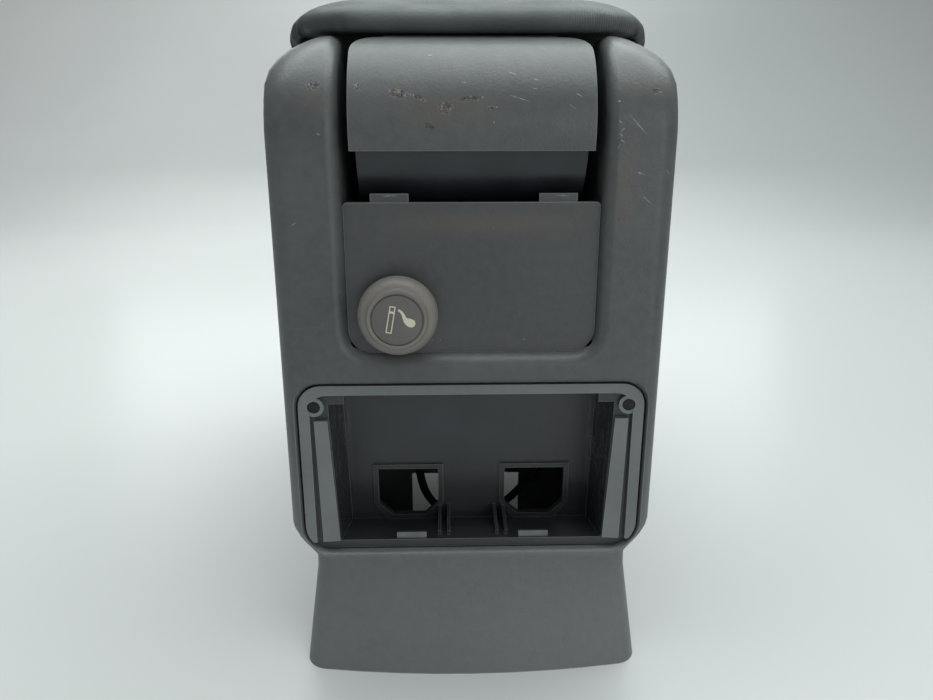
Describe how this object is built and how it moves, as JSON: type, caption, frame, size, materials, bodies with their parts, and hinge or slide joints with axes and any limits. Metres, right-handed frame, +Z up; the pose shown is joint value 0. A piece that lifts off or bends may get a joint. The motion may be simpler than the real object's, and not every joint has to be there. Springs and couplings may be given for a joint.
{
  "type": "car centre armrest",
  "caption": "Car centre console armrest with a rear-hinged padded lid over a storage bin, a rear lighter socket and an empty insert bay.",
  "frame": {"origin": "centre of the bounding box on the floor plane, in the rest pose with the lid closed", "axes": "+Z up, +Y towards the front of the car, +X to the right as seen from behind the console"},
  "size_m": [0.152, 0.32, 0.2713],
  "materials": {
    "housing_plastic": "grained charcoal moulding",
    "dark_plastic": "smooth dark moulding",
    "bin_plastic": "grained dark moulding",
    "panel_plastic": "fine grained charcoal moulding",
    "frame_plastic": "smooth charcoal moulding",
    "knob_plastic": "grained warm grey moulding",
    "disc_plastic": "smooth grey disc with a pale pictogram",
    "pale_plastic": "natural nylon",
    "pad_vinyl": "grained vinyl over foam",
    "mat_rubber": "dull black rubber",
    "plated_steel": "zinc plated sheet and wire",
    "bright_steel": "bright plated sheet",
    "black_steel": "black coated screws",
    "contact_brass": "spring brass"
  },
  "bodies": {
    "console": {"console_housing": "housing_plastic", "storage_bin": "bin_plastic", "bin_mat": "mat_rubber", "hinge_bracket": "plated_steel", "hinge_pin": "plated_steel", "pin_clips": "plated_steel", "bracket_bolts": "plated_steel", "bracket_nuts": "plated_steel", "hinge_shroud": "dark_plastic", "arm_washers": "dark_plastic", "bump_stops": "mat_rubber", "lighter_panel": "panel_plastic", "panel_screws": "black_steel", "socket_shell": "bright_steel", "socket_collar": "dark_plastic", "socket_contact": "contact_brass", "socket_insulator": "pale_plastic", "terminal_blades": "contact_brass", "terminal_housing": "pale_plastic", "bay_frame": "frame_plastic", "bay_screws": "plated_steel", "bay_spring_clips": "bright_steel", "wiring_loom": "mat_rubber", "loom_clip": "dark_plastic", "loom_connector": "pale_plastic", "fixing_bracket": "plated_steel", "fixing_screws": "black_steel"},
    "lid": {"barrel_cover": "housing_plastic", "lid_arms": "plated_steel", "arm_rivets": "plated_steel", "lid_shell": "housing_plastic", "lid_liner": "dark_plastic", "liner_screws": "black_steel", "armrest_pad": "pad_vinyl"},
    "lighter_plug": {"lighter_knob": "knob_plastic", "knob_disc": "disc_plastic", "plug_barrel": "bright_steel", "element_cup": "bright_steel", "element_coil": "black_steel"}
  },
  "joints": [
    {"name": "lid_hinge", "type": "hinge", "parent": "console", "child": "lid", "pos_m": [0, -0.111, 0.223], "axis": [1, 0, 0], "range_deg": [0, 80]},
    {"name": "lighter_slide", "type": "slide", "parent": "console", "child": "lighter_plug", "axis": [0, -1, 0], "range_m": [-0.0026, 0.038]}
  ]
}
